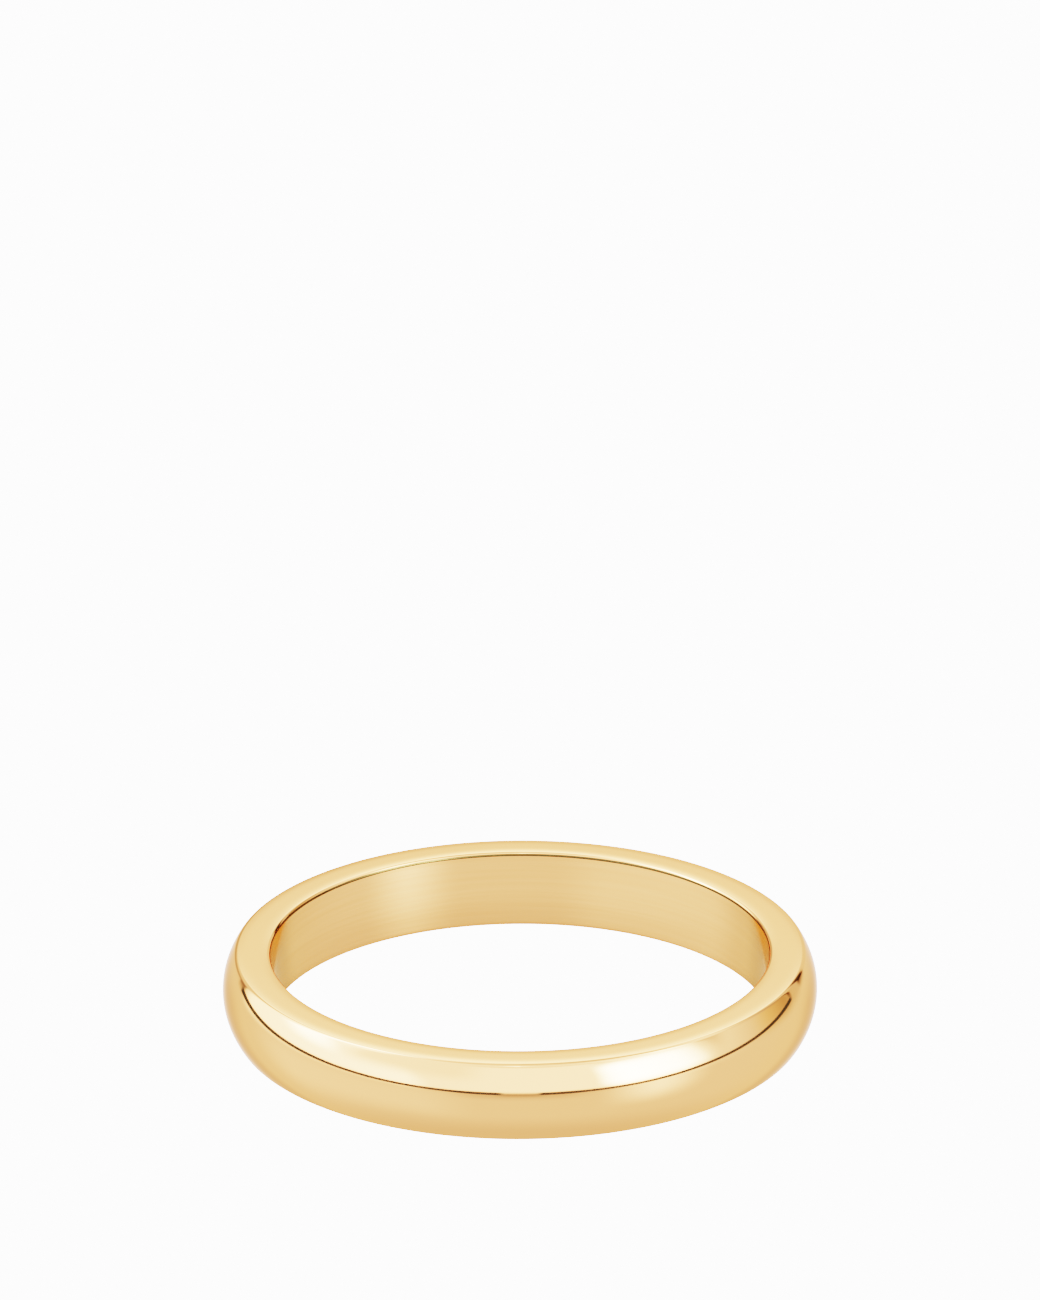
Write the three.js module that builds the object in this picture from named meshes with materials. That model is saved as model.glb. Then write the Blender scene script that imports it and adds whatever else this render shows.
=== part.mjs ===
// Plain domed finger ring, one piece of polished yellow gold.
//
// Millimetres, +Z up. The ring lies on its side: its axis is Z, its lower side face is
// on z = 0, and the origin is on the axis at that face.
//
// Its section is a low dome on the outside, two flat side faces that let one ring sit
// on another, and a straight bore.
import * as THREE from 'three';

// Driving dimensions
const boreDiameter = 17.3;        // inside diameter, the finger size
const bandWidth = 2.82;           // along the axis, from side face to side face
const sideWall = 1.2;             // bore to the shoulder, where the dome would meet the side face
const crownRise = 0.47;           // how far the dome's crest stands out past the shoulders
const shoulderRadius = 0.2;       // rounding between the dome and each side face
const boreEdgeRadius = 0.13;      // rounding between the bore and each side face

// How finely the round forms are cut
const turnSegments = 120;         // round the ring
const domeSegments = 10;          // across the dome, from shoulder to shoulder
const shoulderSegments = 4;       // across each shoulder
const boreEdgeSegments = 3;       // across each bore edge

// Finish
const goldColour = 0xe3be82;
const goldRoughness = 0.12;
const goldMetalness = 1.0;

// Points of an arc from one angle to another, in radians, both ends included.
function arcPoints(centreR, centreH, radius, fromAngle, toAngle, segments) {
  const points = [];
  for (let i = 0; i <= segments; i += 1) {
    const angle = fromAngle + (toAngle - fromAngle) * (i / segments);
    points.push(new THREE.Vector2(
      centreR + radius * Math.cos(angle),
      centreH + radius * Math.sin(angle),
    ));
  }
  return points;
}

// The ring's section, as distance from the axis and height from mid-width.
// It runs up the dome, inwards over the upper side face, down the bore and out again.
function bandSection() {
  const halfWidth = bandWidth / 2;
  const boreR = boreDiameter / 2;
  const crestR = boreR + sideWall + crownRise;

  // The dome's circle passes through both shoulders and the crest.
  const domeRadius = (halfWidth * halfWidth + crownRise * crownRise) / (2 * crownRise);
  const domeCentreR = crestR - domeRadius;

  // Each shoulder's circle touches the side face and the dome from inside.
  const shoulderH = halfWidth - shoulderRadius;
  const shoulderR = domeCentreR + Math.sqrt((domeRadius - shoulderRadius) ** 2 - shoulderH ** 2);
  const domeEndAngle = Math.atan2(shoulderH, shoulderR - domeCentreR);

  const edgeR = boreR + boreEdgeRadius;
  const edgeH = halfWidth - boreEdgeRadius;
  const quarter = Math.PI / 2;

  const dome = arcPoints(domeCentreR, 0, domeRadius, -domeEndAngle, domeEndAngle, domeSegments);
  const upperShoulder = arcPoints(
    shoulderR, shoulderH, shoulderRadius, domeEndAngle, quarter, shoulderSegments);
  const upperBoreEdge = arcPoints(
    edgeR, edgeH, boreEdgeRadius, quarter, 2 * quarter, boreEdgeSegments);
  const lowerBoreEdge = arcPoints(
    edgeR, -edgeH, boreEdgeRadius, 2 * quarter, 3 * quarter, boreEdgeSegments);
  const lowerShoulder = arcPoints(
    shoulderR, -shoulderH, shoulderRadius, -quarter, -domeEndAngle, shoulderSegments);

  // Each shoulder shares its end point with the dome, and the last point closes the section.
  return [
    ...dome,
    ...upperShoulder.slice(1),
    ...upperBoreEdge,
    ...lowerBoreEdge,
    ...lowerShoulder,
  ];
}

function makeBand() {
  const geometry = new THREE.LatheGeometry(bandSection(), turnSegments);
  const material = new THREE.MeshStandardMaterial({
    color: goldColour,
    roughness: goldRoughness,
    metalness: goldMetalness,
  });
  const band = new THREE.Mesh(geometry, material);
  band.name = 'band';
  band.rotation.x = Math.PI / 2;       // the lathe turns about Y, the ring's axis is Z
  band.position.z = bandWidth / 2;
  return band;
}

const ring = new THREE.Group();
ring.add(makeBand());

export default ring;
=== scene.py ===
import math

import bpy
from bpy.props import FloatProperty, FloatVectorProperty, IntProperty, PointerProperty
from mathutils import Matrix, Vector


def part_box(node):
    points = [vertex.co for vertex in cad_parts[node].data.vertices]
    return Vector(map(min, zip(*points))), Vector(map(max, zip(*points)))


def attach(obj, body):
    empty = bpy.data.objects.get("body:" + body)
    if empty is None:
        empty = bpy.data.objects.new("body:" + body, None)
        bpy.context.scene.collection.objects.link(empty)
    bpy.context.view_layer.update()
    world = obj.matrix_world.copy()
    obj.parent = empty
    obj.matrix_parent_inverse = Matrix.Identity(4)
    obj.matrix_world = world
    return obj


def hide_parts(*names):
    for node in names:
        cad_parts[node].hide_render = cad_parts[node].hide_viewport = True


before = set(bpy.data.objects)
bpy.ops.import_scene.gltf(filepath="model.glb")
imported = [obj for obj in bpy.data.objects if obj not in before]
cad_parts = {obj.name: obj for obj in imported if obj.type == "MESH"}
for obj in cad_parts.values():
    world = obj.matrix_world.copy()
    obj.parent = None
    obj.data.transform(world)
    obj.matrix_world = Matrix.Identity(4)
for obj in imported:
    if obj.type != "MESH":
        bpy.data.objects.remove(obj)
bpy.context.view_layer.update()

bl_info = {
    "name": "Stackable ring",
    "version": (1, 0, 0),
    "blender": (4, 5, 0),
    "location": "3D View > Sidebar > Ring",
    "description": "A plain domed gold band with flat sides, lying on a pale light table under soft light",
    "category": "Object",
}

CAD_NODE = "band"
MM = 0.001
MICRON = 0.000001

# The frame's own box gives the sizes that the band has to keep
cad_low, cad_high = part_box(CAD_NODE)
OUTER_RADIUS = cad_high.x
BAND_WIDTH = cad_high.z - cad_low.z


# Sizes and colours that a user would change

class BandSizes(bpy.types.PropertyGroup):
    """Sizes of the band's section"""

    outer_radius: FloatProperty(
        name="Outer radius", description="Axis to the crest of the dome",
        default=OUTER_RADIUS, unit="LENGTH", precision=5)
    width: FloatProperty(
        name="Width", description="From side face to side face",
        default=BAND_WIDTH, unit="LENGTH", precision=5)
    side_wall: FloatProperty(
        name="Side wall", description="Bore to the shoulder, where the dome would meet the side face",
        default=1.2 * MM, unit="LENGTH", precision=5)
    crown_rise: FloatProperty(
        name="Crown rise", description="How far the crest stands out past the shoulders",
        default=0.47 * MM, unit="LENGTH", precision=5)
    shoulder_radius: FloatProperty(
        name="Shoulder radius", description="Rounding between the dome and each side face",
        default=0.2 * MM, unit="LENGTH", precision=5)
    bore_edge_radius: FloatProperty(
        name="Bore edge radius", description="Rounding between the bore and each side face",
        default=0.13 * MM, unit="LENGTH", precision=5)
    face_crown: FloatProperty(
        name="Face crown", description="How much polishing has lowered the rims of each side face",
        default=0.008 * MM, unit="LENGTH", precision=6)
    turn_steps: IntProperty(name="Steps round the ring", description="Faces round the ring", default=720)


class GoldFinish(bpy.types.PropertyGroup):
    """Colour and polish of the gold"""

    colour: FloatVectorProperty(
        name="Gold", description="Colour of the bare metal",
        default=(0.94, 0.43, 0.183), size=3, min=0.0, max=1.0, subtype="COLOR")
    edge_tint: FloatVectorProperty(
        name="Edge tint", description="Colour kept where the metal is seen at a grazing angle",
        default=(0.98, 0.78, 0.6), size=3, min=0.0, max=1.0, subtype="COLOR")
    satin_edge_tint: FloatVectorProperty(
        name="Satin edge tint", description="The same for the satin bore",
        default=(0.95, 0.86, 0.64), size=3, min=0.0, max=1.0, subtype="COLOR")
    # The satin gold is the gold made a little deeper; the deepening is painted shade inside the bore
    satin_colour_with_painted_shade: FloatVectorProperty(
        name="Satin gold", description="Colour of the satin bore, a little deeper than the polish",
        default=(0.89, 0.425, 0.185), size=3, min=0.0, max=1.0, subtype="COLOR")
    # Painted reflection: the dark colour of a line on the bore's upper edge, standing in for a dark
    # reflection there
    painted_rim_line_colour: FloatVectorProperty(
        name="Seam", description="Fine dark line where the satin meets the polished rim",
        default=(0.09, 0.07, 0.03), size=3, min=0.0, max=1.0, subtype="COLOR")
    polished_roughness: FloatProperty(
        name="Polished roughness", description="Outside and side faces",
        default=0.06, min=0.0, max=1.0, subtype="FACTOR")
    bore_roughness: FloatProperty(
        name="Bore roughness", description="Satin bore",
        default=0.13, min=0.0, max=1.0, subtype="FACTOR")
    bore_grain: FloatProperty(
        name="Bore grain", description="How strongly the bore's turning lines spread light across them",
        default=0.3, min=0.0, max=1.0, subtype="FACTOR")


class StageSetup(bpy.types.PropertyGroup):
    """Table, light and camera"""

    table_colour: FloatVectorProperty(
        name="Table", description="Colour of the pale light table",
        default=(1.0, 1.0, 1.0), size=3, min=0.0, max=1.0, subtype="COLOR")
    table_glow: FloatProperty(
        name="Table glow", description="Brightness of the light table and of the backdrop behind it",
        default=5.6, min=0.0)
    light_level: FloatProperty(
        name="Light level", description="Strength of all the soft light", default=1.0, min=0.0)
    camera_elevation: FloatProperty(
        name="Camera elevation", description="Height of the view above the table",
        default=math.radians(23.458), subtype="ANGLE")
    camera_distance: FloatProperty(
        name="Camera distance", description="Camera to the centre of the ring",
        default=321.1 * MM, unit="LENGTH")


# The band's section

FACE_CROWN_POWER = 4              # the higher, the flatter the middle of a side face
PAINTED_RIM_LINE_ANGLE = math.radians(36)     # the part of the upper bore edge that the painted dark line takes up

# How finely the section is cut
DOME_STEPS = 48
SHOULDER_STEPS = 12
FACE_STEPS = 16
POLISHED_EDGE_STEPS = 8
PAINTED_RIM_LINE_STEPS = 3
LOWER_EDGE_STEPS = 10


def arc(centre_r, centre_h, radius, start, end, steps):
    """Points of an arc between two angles, as (distance from the axis, height from mid-width)"""
    points = []
    for i in range(steps + 1):
        angle = start + (end - start) * i / steps
        points.append((centre_r + radius * math.cos(angle), centre_h + radius * math.sin(angle)))
    return points


def crowned_face(from_r, to_r, height, crown, side):
    """Points between the rims of a side face, which is highest in its middle"""
    middle = (from_r + to_r) / 2
    half = abs(to_r - from_r) / 2
    points = []
    for i in range(1, FACE_STEPS):
        r = from_r + (to_r - from_r) * i / FACE_STEPS
        drop = crown * ((r - middle) / half) ** FACE_CROWN_POWER
        points.append((r, side * (height - drop)))
    return points


def bore_radius(sizes):
    """From the axis to the bore's wall"""
    return sizes.outer_radius - sizes.crown_rise - sizes.side_wall


def band_section(sizes):
    """The closed section: up the dome, in over the upper face, down the bore and out again.
    Gives the points and, for the stretch that starts at each point, its finish."""
    half = sizes.width / 2
    bore_r = bore_radius(sizes)
    quarter = math.pi / 2

    # The dome's circle passes through both shoulders and the crest
    dome_radius = (half ** 2 + sizes.crown_rise ** 2) / (2 * sizes.crown_rise)
    dome_r = sizes.outer_radius - dome_radius

    # Each shoulder's circle touches the rim of the side face and the dome from inside
    rounding = sizes.shoulder_radius
    crown = sizes.face_crown
    shoulder_h = half - crown - rounding
    shoulder_r = dome_r + math.sqrt((dome_radius - rounding) ** 2 - shoulder_h ** 2)
    dome_end = math.atan2(shoulder_h, shoulder_r - dome_r)

    edge = sizes.bore_edge_radius
    edge_r = bore_r + edge
    edge_h = half - crown - edge
    painted_rim_line_start = 2 * quarter - PAINTED_RIM_LINE_ANGLE

    stretches = [
        ("polish", arc(dome_r, 0, dome_radius, -dome_end, dome_end, DOME_STEPS)),
        ("polish", arc(shoulder_r, shoulder_h, rounding, dome_end, quarter, SHOULDER_STEPS)[1:]),
        ("polish", crowned_face(shoulder_r, edge_r, half, crown, 1)),
        ("polish", arc(edge_r, edge_h, edge, quarter, painted_rim_line_start, POLISHED_EDGE_STEPS)[:-1]),
        # The painted rim line: a dark painted reflection on the upper bore edge
        ("painted_rim_line", arc(edge_r, edge_h, edge, painted_rim_line_start, 2 * quarter, PAINTED_RIM_LINE_STEPS)[:-1]),
        ("satin", [(bore_r, edge_h)]),
        ("polish", arc(edge_r, -edge_h, edge, 2 * quarter, 3 * quarter, LOWER_EDGE_STEPS)),
        ("polish", crowned_face(edge_r, shoulder_r, half, crown, -1)),
        ("polish", arc(shoulder_r, -shoulder_h, rounding, -quarter, -dome_end, SHOULDER_STEPS)[:-1]),
    ]
    points = []
    finishes = []
    for finish, stretch in stretches:
        points.extend(stretch)
        finishes.extend([finish] * len(stretch))
    return points, finishes


# Mesh helpers

def turn_section(name, points, steps, raised=0.0, closed=True):
    """Turns a section round Z into a mesh, raised by a height"""
    vertices = []
    for i in range(steps):
        angle = 2 * math.pi * i / steps
        for r, h in points:
            vertices.append((r * math.cos(angle), r * math.sin(angle), h + raised))
    count = len(points)
    stretches = count if closed else count - 1
    faces = []
    for i in range(steps):
        here = i * count
        there = ((i + 1) % steps) * count
        for j in range(stretches):
            k = (j + 1) % count
            faces.append((here + j, there + j, there + k, here + k))
    mesh = bpy.data.meshes.new(name)
    mesh.from_pydata(vertices, [], faces)
    mesh.validate()
    mesh.update()
    return mesh


def place_object(name, data):
    """Puts a mesh or a camera into the scene as an object"""
    placed = bpy.data.objects.new(name, data)
    bpy.context.scene.collection.objects.link(placed)
    return placed


# Node helpers

def empty_tree(owner):
    """Clears the nodes of a material or a world; gives its tree"""
    owner.use_nodes = True
    owner.node_tree.nodes.clear()
    return owner.node_tree


def add_node(tree, kind, **settings):
    """Adds a node and sets its own properties"""
    node = tree.nodes.new(kind)
    for name, value in settings.items():
        setattr(node, name, value)
    return node


def join(tree, source, target):
    """Links an output socket to an input socket"""
    tree.links.new(source, target)


def feed(tree, value, target):
    """Gives an input its value, which is an output socket, a number or a colour"""
    if isinstance(value, bpy.types.NodeSocket):
        join(tree, value, target)
    else:
        target.default_value = value


def math_node(tree, operation, first, second=None):
    """A Math node whose inputs are sockets or numbers; gives its output"""
    node = add_node(tree, "ShaderNodeMath", operation=operation)
    feed(tree, first, node.inputs[0])
    if second is not None:
        feed(tree, second, node.inputs[1])
    return node.outputs[0]


def remap(tree, value, low, high, to_low=0.0, to_high=1.0, smooth=True):
    """A Map Range node; gives its output"""
    node = add_node(tree, "ShaderNodeMapRange")
    node.interpolation_type = "SMOOTHSTEP" if smooth else "LINEAR"
    join(tree, value, node.inputs["Value"])
    node.inputs["From Min"].default_value = low
    node.inputs["From Max"].default_value = high
    node.inputs["To Min"].default_value = to_low
    node.inputs["To Max"].default_value = to_high
    return node.outputs["Result"]


def blend(tree, kind, factor, first, second, label=""):
    """A Mix node for FLOAT or RGBA values; gives its output"""
    node = add_node(tree, "ShaderNodeMix", data_type=kind, label=label)
    join(tree, factor, node.inputs["Factor"])
    feed(tree, first, node.inputs["A"])
    feed(tree, second, node.inputs["B"])
    return node.outputs["Result"]


def blend_shaders(tree, factor, first, second):
    """A Mix Shader node; gives its output"""
    node = add_node(tree, "ShaderNodeMixShader")
    join(tree, factor, node.inputs["Fac"])
    join(tree, first, node.inputs[1])
    join(tree, second, node.inputs[2])
    return node.outputs["Shader"]


def set_surface(tree, shader, kind="ShaderNodeOutputMaterial"):
    """Makes a shader's output the surface of the material or the world"""
    output = add_node(tree, kind)
    join(tree, shader, output.inputs["Surface"])


def stretched_noise(tree, coordinates, scale, detail):
    """Noise whose grain is 1/scale long on each axis"""
    mapping = add_node(tree, "ShaderNodeMapping")
    mapping.inputs["Scale"].default_value = scale
    join(tree, coordinates, mapping.inputs["Vector"])
    noise = add_node(tree, "ShaderNodeTexNoise")
    noise.inputs["Scale"].default_value = 1.0
    noise.inputs["Detail"].default_value = detail
    join(tree, mapping.outputs["Vector"], noise.inputs["Vector"])
    return noise.outputs["Fac"]


def bump(tree, height, depth, normal=None):
    """A Bump node of real depth in metres; gives its normal"""
    node = add_node(tree, "ShaderNodeBump")
    node.inputs["Strength"].default_value = 1.0
    node.inputs["Distance"].default_value = depth
    join(tree, height, node.inputs["Height"])
    if normal is not None:
        join(tree, normal, node.inputs["Normal"])
    return node.outputs["Normal"]


# The gold

# How many times each pattern repeats in a metre along X, Y and Z
POLISH_PATCHES = (260, 260, 260)
POLISH_SMEARS = (700, 700, 1400)
POLISH_RIPPLE = (500, 500, 700)
POLISH_HAIRLINES = (900, 900, 30000)
SATIN_FINE_LINES = (220, 220, 24000)
SATIN_COARSE_LINES = (150, 150, 6000)
FINE_LINE_SHARE = 0.4             # depth of the fine lines, as a share of the coarse ones
STREAK_SPAN = (0.4, 1.0)          # height of the lines at which the colour starts and ends deepening

# How deep each pattern lies in the metal
RIPPLE_DEPTH = 0.3 * MICRON
HAIRLINE_DEPTH = 0.01 * MICRON
PAINTED_RIM_LINE_DEPTH = 0.5 * MICRON
SATIN_DEPTH = 2.0 * MICRON

# How much deeper the colour is where a pattern is strong, in all and for red, green and blue
POLISH_DEEPENING = 0.03
SATIN_DEEPENING = 0.06
PAINTED_RIM_LINE_DEEPENING = 0.2
DEEPENING_SHARES = (0.6, 1.0, 1.4)

# How much the roughness varies, as a share of itself, and the painted rim line's from end to end
POLISH_UNEVENNESS = 0.15
SATIN_UNEVENNESS = 0.12
PAINTED_RIM_LINE_ROUGHNESS = (0.25, 0.4)
NOISE_SPAN = (0.3, 0.7)           # the values that noise mostly keeps to


def gold_material(name, edge_tint):
    """Bare metal with its tint at a grazing angle; gives the material, its tree, the shader and
    the coordinates that its patterns are laid out in"""
    material = bpy.data.materials.new(name)
    tree = empty_tree(material)
    shader = add_node(tree, "ShaderNodeBsdfPrincipled")
    shader.inputs["Metallic"].default_value = 1.0
    shader.inputs["Specular Tint"].default_value = (*edge_tint, 1)
    set_surface(tree, shader.outputs["BSDF"])
    place = add_node(tree, "ShaderNodeTexCoord").outputs["Object"]
    return material, tree, shader, place


def deepened(tree, pattern, colour, amount):
    """The gold's colour, a little deeper where the pattern is strong"""
    deeper = [c * (1 - amount * share) for c, share in zip(colour, DEEPENING_SHARES)]
    return blend(tree, "RGBA", pattern, (*colour, 1), (*deeper, 1))


def uneven(tree, pattern, low, high):
    """A value that runs from low to high over a noise pattern"""
    return remap(tree, pattern, *NOISE_SPAN, low, high)


def polished_gold(finish):
    """Mirror polish with faint unevenness left by the polishing wheel"""
    material, tree, shader, place = gold_material("polished_gold", finish.edge_tint)
    patches = stretched_noise(tree, place, POLISH_PATCHES, detail=3.0)
    join(tree, deepened(tree, patches, finish.colour, POLISH_DEEPENING), shader.inputs["Base Color"])

    smears = stretched_noise(tree, place, POLISH_SMEARS, detail=3.0)
    smoothest = finish.polished_roughness * (1 - POLISH_UNEVENNESS)
    roughest = finish.polished_roughness * (1 + POLISH_UNEVENNESS)
    join(tree, uneven(tree, smears, smoothest, roughest), shader.inputs["Roughness"])

    ripple = stretched_noise(tree, place, POLISH_RIPPLE, detail=1.0)
    hairlines = stretched_noise(tree, place, POLISH_HAIRLINES, detail=1.0)
    waves = bump(tree, ripple, RIPPLE_DEPTH)
    join(tree, bump(tree, hairlines, HAIRLINE_DEPTH, waves), shader.inputs["Normal"])
    return material


def painted_rim_line_gold(finish):
    """A painted reflection: a dark line on the bore's upper edge, where the satin meets the polish"""
    material, tree, shader, place = gold_material("painted_rim_line_gold", finish.edge_tint)
    smears = stretched_noise(tree, place, POLISH_SMEARS, detail=3.0)
    join(tree, deepened(tree, smears, finish.painted_rim_line_colour, PAINTED_RIM_LINE_DEEPENING), shader.inputs["Base Color"])
    join(tree, uneven(tree, smears, *PAINTED_RIM_LINE_ROUGHNESS), shader.inputs["Roughness"])
    join(tree, bump(tree, smears, PAINTED_RIM_LINE_DEPTH), shader.inputs["Normal"])
    return material


def satin_gold(finish):
    """The bore: fine turning lines round the ring, polished over but not away"""
    material, tree, shader, place = gold_material("satin_gold", finish.satin_edge_tint)
    shader.inputs["Anisotropic"].default_value = finish.bore_grain
    round_axis = add_node(tree, "ShaderNodeTangent", direction_type="RADIAL", axis="Z")
    join(tree, round_axis.outputs["Tangent"], shader.inputs["Tangent"])

    fine = stretched_noise(tree, place, SATIN_FINE_LINES, detail=2.0)
    coarse = stretched_noise(tree, place, SATIN_COARSE_LINES, detail=2.0)
    lines = math_node(tree, "ADD", math_node(tree, "MULTIPLY", fine, FINE_LINE_SHARE), coarse)
    streaks = remap(tree, lines, *STREAK_SPAN)
    # The bore's colour is deeper than the polish partly as painted shade inside the bore
    join(tree, deepened(tree, streaks, finish.satin_colour_with_painted_shade, SATIN_DEEPENING), shader.inputs["Base Color"])

    smoothest = finish.bore_roughness * (1 - SATIN_UNEVENNESS)
    roughest = finish.bore_roughness * (1 + SATIN_UNEVENNESS)
    join(tree, uneven(tree, coarse, smoothest, roughest), shader.inputs["Roughness"])
    join(tree, bump(tree, lines, SATIN_DEPTH), shader.inputs["Normal"])
    return material


# The light

# Soft light round the ring, and the table as the gold mirrors it. Azimuth 0 is towards the
# camera and 90 to the right, elevation is above the table, both in degrees. A patch's level
# runs from its first azimuth to its last, and it lies over the patches before it. The sides
# of a leaning patch lean away from the camera as they rise.
ALL_ROUND = (-200, 200, 1)
PATCHES = [
    # name, stands, azimuth (from, to, soft edge), elevation (from, to, soft edge), level from, to
    ("table near the ring", "upright", ALL_ROUND, (-120, -56, 20), 1.0, 1.0),
    ("table behind the ring", "upright", (137, 159, 9), (-70, -10, 8), 1.0, 0.95),
    ("table behind the ring, left", "upright", (-159, -137, 9), (-70, -10, 8), 0.95, 1.0),
    ("table under the left softbox", "upright", (-112, -28, 14), (-40, -2, 14), 1.65, 1.55),
    ("glow of the right softbox on the table", "upright", (42, 64, 15), (-23, 8, 15), 2.9, 2.9),
    ("dim table in front", "upright", (-22, 22, 10), (-9, 0, 5), 1.0, 1.0),
    ("dimmest table in front", "upright", (-8, 8, 3), (-4.5, 1.5, 3), 0.6, 0.6),
    ("overhead softbox", "upright", ALL_ROUND, (46, 74, 8), 2.4, 2.4),
    ("zenith", "upright", ALL_ROUND, (76, 120, 8), 1.75, 1.75),
    ("high back", "upright", (105, 200, 20), (60, 82, 6), 1.1, 1.1),
    ("high back, left", "upright", (-200, -140, 20), (62, 82, 6), 1.3, 1.3),
    ("far wall", "upright", (150, 200, 12), (-2, 22, 4), 1.25, 1.25),
    ("far wall, left", "upright", (-200, -150, 12), (-2, 22, 4), 1.2, 1.2),
    ("far light strip", "upright", (166, 200, 8), (27, 46, 8), 4.2, 4.2),
    ("far light strip, left", "upright", (-200, -166, 8), (27, 46, 8), 4.2, 4.2),
    ("front diffuser", "upright", (-60, 40, 12), (1, 44, 3), 2.9, 3.0),
    ("left softbox", "leaning", (-130, -38, 6), (0, 62, 6), 4.0, 4.6),
    ("left softbox, plain side", "upright", (-74, -20, 9), (20, 70, 10), 2.6, 2.3),
    ("left softbox, bulb side", "leaning", (-99, -76, 9), (19, 66, 8), 11.0, 11.0),
    ("glow over the right softbox", "upright", (43, 76, 10), (34, 62, 10), 3.9, 3.9),
    ("upper glow of the right softbox", "leaning", (36, 60, 9), (30, 66, 8), 6.3, 6.3),
    ("glow beside the right softbox", "upright", (40, 78, 9), (1, 42, 8), 4.0, 3.6),
    ("right softbox", "upright", (36, 70, 8), (5, 34, 7), 28.0, 12.0),
    ("right card", "leaning", (80, 128, 7), (-1, 43, 8), 1.9, 0.4),
    ("edge of the right card", "leaning", (126.4, 128.5, 0.6), (5, 31, 4), 0.14, 0.14),
    ("behind the right card", "leaning", (129, 136, 1), (-2, 22, 5), 0.95, 0.95),
    ("dark gap", "leaning", (136.5, 144.5, 1.5), (0, 23, 4), 0.06, 0.06),
    ("upper end of the dark gap", "leaning", (139, 147, 1.5), (15, 29, 4), 0.15, 0.15),
    ("left card", "leaning", (-174, -133.5, 1.5), (4, 18.5, 3), 0.68, 0.68),
    ("edge of the left card", "leaning", (-140, -133.5, 1.2), (1, 12, 4), 0.35, 0.35),
]
LEAN = 0.012                      # degrees of lean for each degree of elevation, squared
LEAN_TOP = 60.0                   # elevation above which the sides lean no further
ROOM_LEVEL = 1.2
TABLE_LEVEL = 1.3
HORIZON = (-2, 0)                 # elevations between which the table gives way to the room

# Light from the outer part of the right card is warmer: azimuth and elevation, each from, to, soft edge
WARM_CARD = ((104, 128, 8), (0, 30, 8))
CARD_WARMTH = (1.1, 0.98, 0.78)
NO_TINT = (1.0, 1.0, 1.0)

# The dark line between the table and the lights. It rises towards both sides, each from an
# azimuth to an azimuth, by a height in degrees, with a power that bends it.
LINE_MIDDLE = -0.6                # elevation in front
LINE_RISE_LEFT = (-50, -130, 1.9, 2.0)
LINE_RISE_RIGHT = (40, 127, 3.8, 1.7)
LINE_HALF_WIDTH = 1.65
LINE_EDGE = 0.35                  # softness above and below
LINE_REACH = (-135.5, 127.5, 1)   # azimuth from, to, soft edge, as in the next two
LINE_GAP = (-7, 7, 1.5)
LINE_FRONT = (-22, 22, 6)
LINE_FRONT_WIDTH = 0.35           # by which it is wider in front
LINE_LEVEL = 0.14
LINE_COOLNESS = (0.7, 1.0, 1.1)


def window(tree, value, low, high, edge):
    """1 between low and high and 0 outside them, with soft edges"""
    rise = remap(tree, value, low - edge, low + edge)
    fall = remap(tree, value, high - edge, high + edge, 1.0, 0.0)
    return math_node(tree, "MULTIPLY", rise, fall)


def area(tree, azimuth, elevation, across, up):
    """1 inside a patch of directions and 0 outside it"""
    return math_node(tree, "MULTIPLY", window(tree, azimuth, *across), window(tree, elevation, *up))


def directions(tree):
    """The azimuth of the direction looked in, the azimuth for leaning patches, and the elevation"""
    direction = add_node(tree, "ShaderNodeTexCoord").outputs["Generated"]
    split = add_node(tree, "ShaderNodeSeparateXYZ")
    join(tree, direction, split.inputs["Vector"])
    towards_camera = math_node(tree, "MULTIPLY", split.outputs["Y"], -1.0)
    angle = math_node(tree, "ARCTAN2", split.outputs["X"], towards_camera)
    azimuth = math_node(tree, "DEGREES", angle)
    elevation = math_node(tree, "DEGREES", math_node(tree, "ARCSINE", split.outputs["Z"]))

    lift = math_node(tree, "MINIMUM", math_node(tree, "MAXIMUM", elevation, 0.0), LEAN_TOP)
    lean = math_node(tree, "MULTIPLY", math_node(tree, "MULTIPLY", lift, lift), LEAN)
    lean = math_node(tree, "MULTIPLY", lean, math_node(tree, "SIGN", azimuth))
    return azimuth, math_node(tree, "SUBTRACT", azimuth, lean), elevation


def line_rise(tree, azimuth, start, end, height, power):
    """How far the dark line has risen on its way to one side"""
    along = remap(tree, azimuth, start, end, smooth=False)
    return math_node(tree, "MULTIPLY", math_node(tree, "POWER", along, power), height)


def dark_line(tree, azimuth, elevation):
    """1 on the dark line between the table and the lights and 0 beside it"""
    left = line_rise(tree, azimuth, *LINE_RISE_LEFT)
    right = line_rise(tree, azimuth, *LINE_RISE_RIGHT)
    above = math_node(tree, "SUBTRACT", elevation, math_node(tree, "ADD", left, right))
    above = math_node(tree, "SUBTRACT", above, LINE_MIDDLE)
    widening = math_node(tree, "MULTIPLY", window(tree, azimuth, *LINE_FRONT), LINE_FRONT_WIDTH)
    beside = math_node(tree, "SUBTRACT", math_node(tree, "ABSOLUTE", above), widening)
    across = remap(tree, beside, LINE_HALF_WIDTH - LINE_EDGE, LINE_HALF_WIDTH + LINE_EDGE, 1.0, 0.0)
    unbroken = math_node(tree, "SUBTRACT", 1.0, window(tree, azimuth, *LINE_GAP))
    along = math_node(tree, "MULTIPLY", window(tree, azimuth, *LINE_REACH), unbroken)
    return math_node(tree, "MULTIPLY", across, along)


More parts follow.
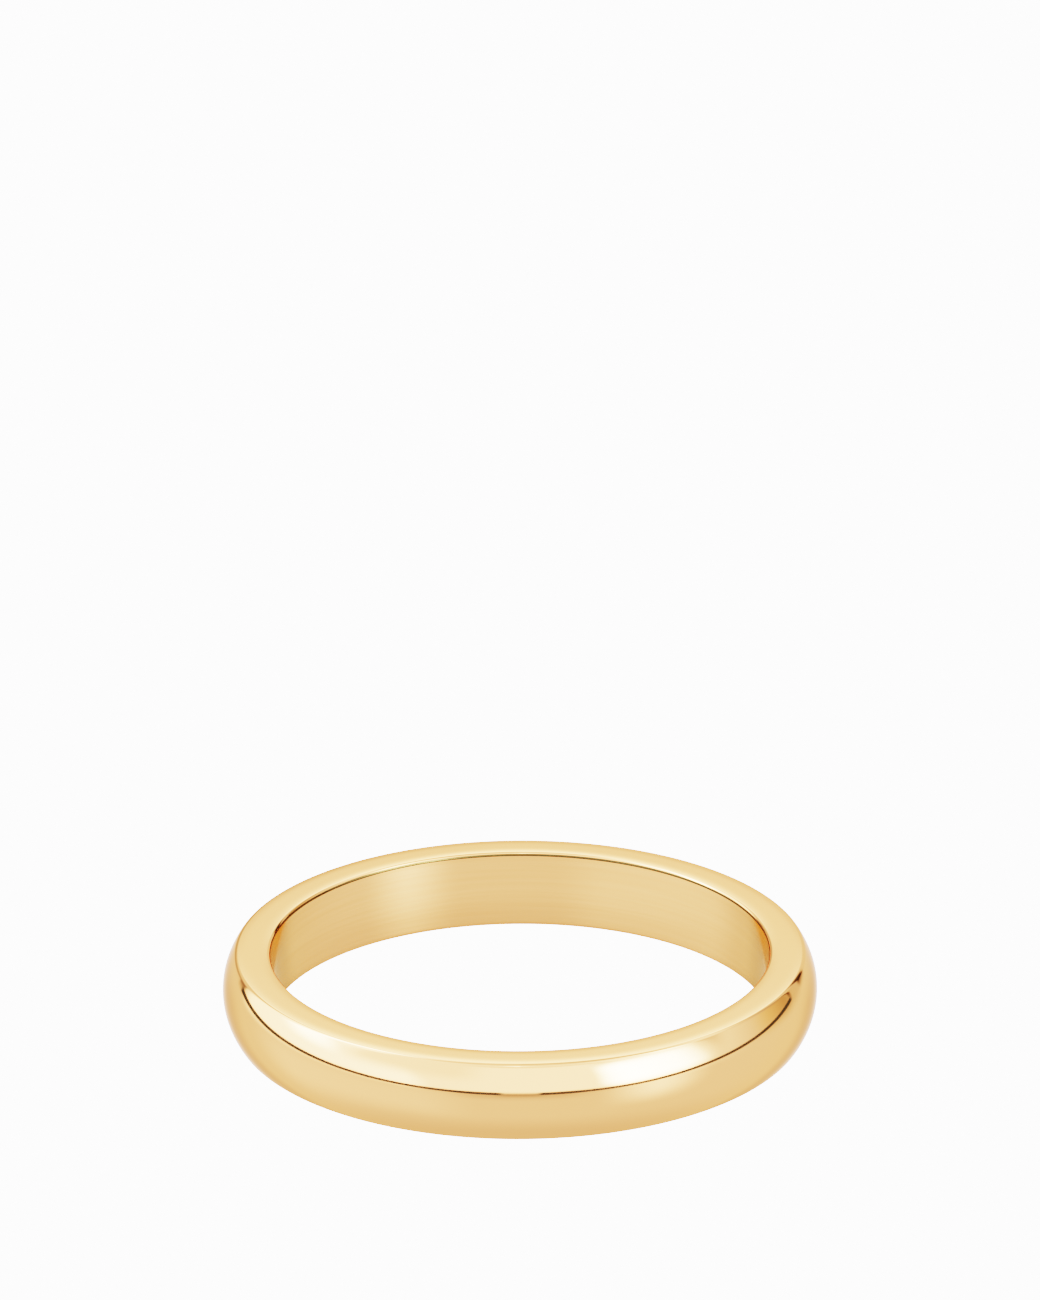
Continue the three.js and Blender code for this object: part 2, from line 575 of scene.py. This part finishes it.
def world_light(setup):
    """A light tent: soft boxes and cards as patches of the surroundings. The camera itself sees
    a plain backdrop, as bright as the table."""
    world = bpy.data.worlds.new("light_tent")
    bpy.context.scene.world = world
    tree = empty_tree(world)
    azimuth, leaning, elevation = directions(tree)
    sideways = {"upright": azimuth, "leaning": leaning}

    light = remap(tree, elevation, *HORIZON, TABLE_LEVEL, ROOM_LEVEL)
    for name, stands, across, up, level_from, level_to in PATCHES:
        inside = area(tree, sideways[stands], elevation, across, up)
        level = remap(tree, sideways[stands], across[0], across[1], level_from, level_to, smooth=False)
        light = blend(tree, "FLOAT", inside, light, level, label=name)
    line = dark_line(tree, azimuth, elevation)
    light = blend(tree, "FLOAT", line, light, LINE_LEVEL, label="dark line")

    card = area(tree, leaning, elevation, *WARM_CARD)
    tint = blend(tree, "RGBA", card, (*NO_TINT, 1), (*CARD_WARMTH, 1))
    tint = blend(tree, "RGBA", line, tint, (*LINE_COOLNESS, 1))
    coloured = add_node(tree, "ShaderNodeVectorMath", operation="SCALE")
    join(tree, tint, coloured.inputs["Vector"])
    join(tree, light, coloured.inputs["Scale"])

    glow = add_node(tree, "ShaderNodeBackground")
    glow.inputs["Strength"].default_value = setup.light_level
    join(tree, coloured.outputs["Vector"], glow.inputs["Color"])
    backdrop = add_node(tree, "ShaderNodeBackground")
    backdrop.inputs["Color"].default_value = (*setup.table_colour, 1)
    backdrop.inputs["Strength"].default_value = setup.table_glow
    seen = add_node(tree, "ShaderNodeLightPath").outputs["Is Camera Ray"]
    shown = blend_shaders(tree, seen, glow.outputs["Background"], backdrop.outputs["Background"])
    set_surface(tree, shown, "ShaderNodeOutputWorld")


# The table

TABLE_HALF = 1.5                  # metres from the ring to the table's edges

# Shade on the table near the bore's wall: where it starts and where it is deepest, as distances
# in from the wall, and how deep it is. A negative distance lies under the metal.
WIDE_SHADE = (3.65 * MM, -0.35 * MM, 0.24)
NARROW_SHADE = (0.35 * MM, 0.05 * MM, 0.15)
SHADE_CLEARANCE = 0.02 * MM       # kept from the wall and above the table
SHADE_STEPS = 180
SHADE_COLOUR = (0.12, 0.1, 0.07)


def table_top(setup):
    """The pale light table that the ring lies on, lit evenly from below. The gold doesn't mirror
    it: the table's mirror image is part of the world's light, where it has its shading."""
    mesh = bpy.data.meshes.new("table_top")
    corners = [(TABLE_HALF * x, TABLE_HALF * y, 0) for x, y in ((-1, -1), (1, -1), (1, 1), (-1, 1))]
    mesh.from_pydata(corners, [], [(0, 1, 2, 3)])
    material = bpy.data.materials.new("light_table")
    tree = empty_tree(material)
    glow = add_node(tree, "ShaderNodeEmission")
    glow.inputs["Color"].default_value = (*setup.table_colour, 1)
    glow.inputs["Strength"].default_value = setup.table_glow
    set_surface(tree, glow.outputs["Emission"])
    mesh.materials.append(material)
    table = place_object("table_top", mesh)
    table.visible_glossy = False


def contact_shade(sizes):
    """The shade on the table close to the bore's wall, which only the gold mirrors"""
    wall = bore_radius(sizes)
    inner = (wall - WIDE_SHADE[0], SHADE_CLEARANCE)
    outer = (wall - SHADE_CLEARANCE, SHADE_CLEARANCE)
    mesh = turn_section("contact_shade", [inner, outer], SHADE_STEPS, closed=False)

    material = bpy.data.materials.new("contact_shade")
    tree = empty_tree(material)
    place = add_node(tree, "ShaderNodeTexCoord").outputs["Object"]
    distance = add_node(tree, "ShaderNodeVectorMath", operation="LENGTH")
    join(tree, place, distance.inputs[0])
    wide, narrow = [
        remap(tree, distance.outputs["Value"], wall - start, wall - deepest, 0.0, depth)
        for start, deepest, depth in (WIDE_SHADE, NARROW_SHADE)
    ]
    shading = math_node(tree, "ADD", wide, narrow)
    clear = add_node(tree, "ShaderNodeBsdfTransparent")
    dark = add_node(tree, "ShaderNodeBsdfDiffuse")
    dark.inputs["Color"].default_value = (*SHADE_COLOUR, 1)
    set_surface(tree, blend_shaders(tree, shading, clear.outputs["BSDF"], dark.outputs["BSDF"]))
    mesh.materials.append(material)

    shade = place_object("contact_shade", mesh)
    shade.visible_camera = False
    shade.visible_diffuse = False
    shade.visible_shadow = False


# The camera, as fitted to the photograph

FRAME_PX = (1040, 1300)
FOCAL_PX = 9242.7
RING_PX = (520.0, 985.83)         # where the centre of the ring lies in the frame
CAMERA_ROLL = math.radians(-0.22)
SENSOR_MM = 36                    # along the frame's longer side
CLIP_NEAR = 0.01
CLIP_FAR = 10


def stand_camera(setup):
    """The camera at the photographed angle, aimed above the ring so that it sits low in the frame"""
    elevation = setup.camera_elevation
    back = Vector((0, -math.cos(elevation), math.sin(elevation)))
    centre = Vector((0, 0, BAND_WIDTH / 2))
    optics = bpy.data.cameras.new("photo_camera")
    optics.sensor_width = SENSOR_MM
    optics.lens = SENSOR_MM * FOCAL_PX / max(FRAME_PX)
    optics.clip_start = CLIP_NEAR
    optics.clip_end = CLIP_FAR
    camera = place_object("photo_camera", optics)

    yaw = math.atan((RING_PX[0] - FRAME_PX[0] / 2) / FOCAL_PX)
    pitch = math.atan((RING_PX[1] - FRAME_PX[1] / 2) / FOCAL_PX)
    look = (-back).to_track_quat("-Z", "Y").to_matrix().to_4x4()
    spin = Matrix.Rotation(CAMERA_ROLL, 4, "Z")
    aim = Matrix.Rotation(yaw, 4, "Y") @ Matrix.Rotation(pitch, 4, "X")
    camera.matrix_world = Matrix.Translation(centre + back * setup.camera_distance) @ look @ spin @ aim
    bpy.context.scene.camera = camera


# Operators

class RING_OT_band(bpy.types.Operator):
    """Build the band: a polished dome and side faces with a satin bore"""

    bl_idname = "ring.band"
    bl_label = "Make the band"

    def execute(self, context):
        sizes = context.scene.band_sizes
        finish = context.scene.gold_finish
        points, finishes = band_section(sizes)
        mesh = turn_section("ring_band", points, sizes.turn_steps, raised=sizes.width / 2)
        # The painted rim line is a dark painted reflection on the bore's upper edge
        golds = {"polish": polished_gold(finish), "satin": satin_gold(finish), "painted_rim_line": painted_rim_line_gold(finish)}
        for gold in golds.values():
            mesh.materials.append(gold)
        slots = [list(golds).index(name) for name in finishes]
        for index, polygon in enumerate(mesh.polygons):
            polygon.use_smooth = True
            polygon.material_index = slots[index % len(slots)]
        band = place_object("ring_band", mesh)
        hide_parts(CAD_NODE)
        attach(band, "root")
        return {"FINISHED"}


class RING_OT_stage(bpy.types.Operator):
    """Set the table, the soft light round it and the camera"""

    bl_idname = "ring.stage"
    bl_label = "Set the stage"

    def execute(self, context):
        setup = context.scene.stage_setup
        table_top(setup)
        contact_shade(context.scene.band_sizes)
        world_light(setup)
        stand_camera(setup)
        view = context.scene.view_settings
        view.view_transform = "Filmic"
        view.look = "Very High Contrast"
        return {"FINISHED"}


class RING_PT_panel(bpy.types.Panel):
    """Sizes, finish and stage of the ring"""

    bl_idname = "RING_PT_panel"
    bl_label = "Stackable ring"
    bl_space_type = "VIEW_3D"
    bl_region_type = "UI"
    bl_category = "Ring"

    def draw(self, context):
        layout = self.layout
        for group in (context.scene.band_sizes, context.scene.gold_finish, context.scene.stage_setup):
            box = layout.box()
            for name in group.__annotations__:
                box.prop(group, name)
        layout.operator(RING_OT_band.bl_idname)
        layout.operator(RING_OT_stage.bl_idname)


CLASSES = (BandSizes, GoldFinish, StageSetup, RING_OT_band, RING_OT_stage, RING_PT_panel)


def register():
    """Adds the classes, and the ring's settings to each scene"""
    for cls in CLASSES:
        bpy.utils.register_class(cls)
    bpy.types.Scene.band_sizes = PointerProperty(type=BandSizes)
    bpy.types.Scene.gold_finish = PointerProperty(type=GoldFinish)
    bpy.types.Scene.stage_setup = PointerProperty(type=StageSetup)


def unregister():
    """Takes the settings and the classes out again"""
    del bpy.types.Scene.stage_setup
    del bpy.types.Scene.gold_finish
    del bpy.types.Scene.band_sizes
    for cls in reversed(CLASSES):
        bpy.utils.unregister_class(cls)


def main():
    register()
    bpy.ops.ring.band()
    bpy.ops.ring.stage()


if __name__ == "__main__":
    main()
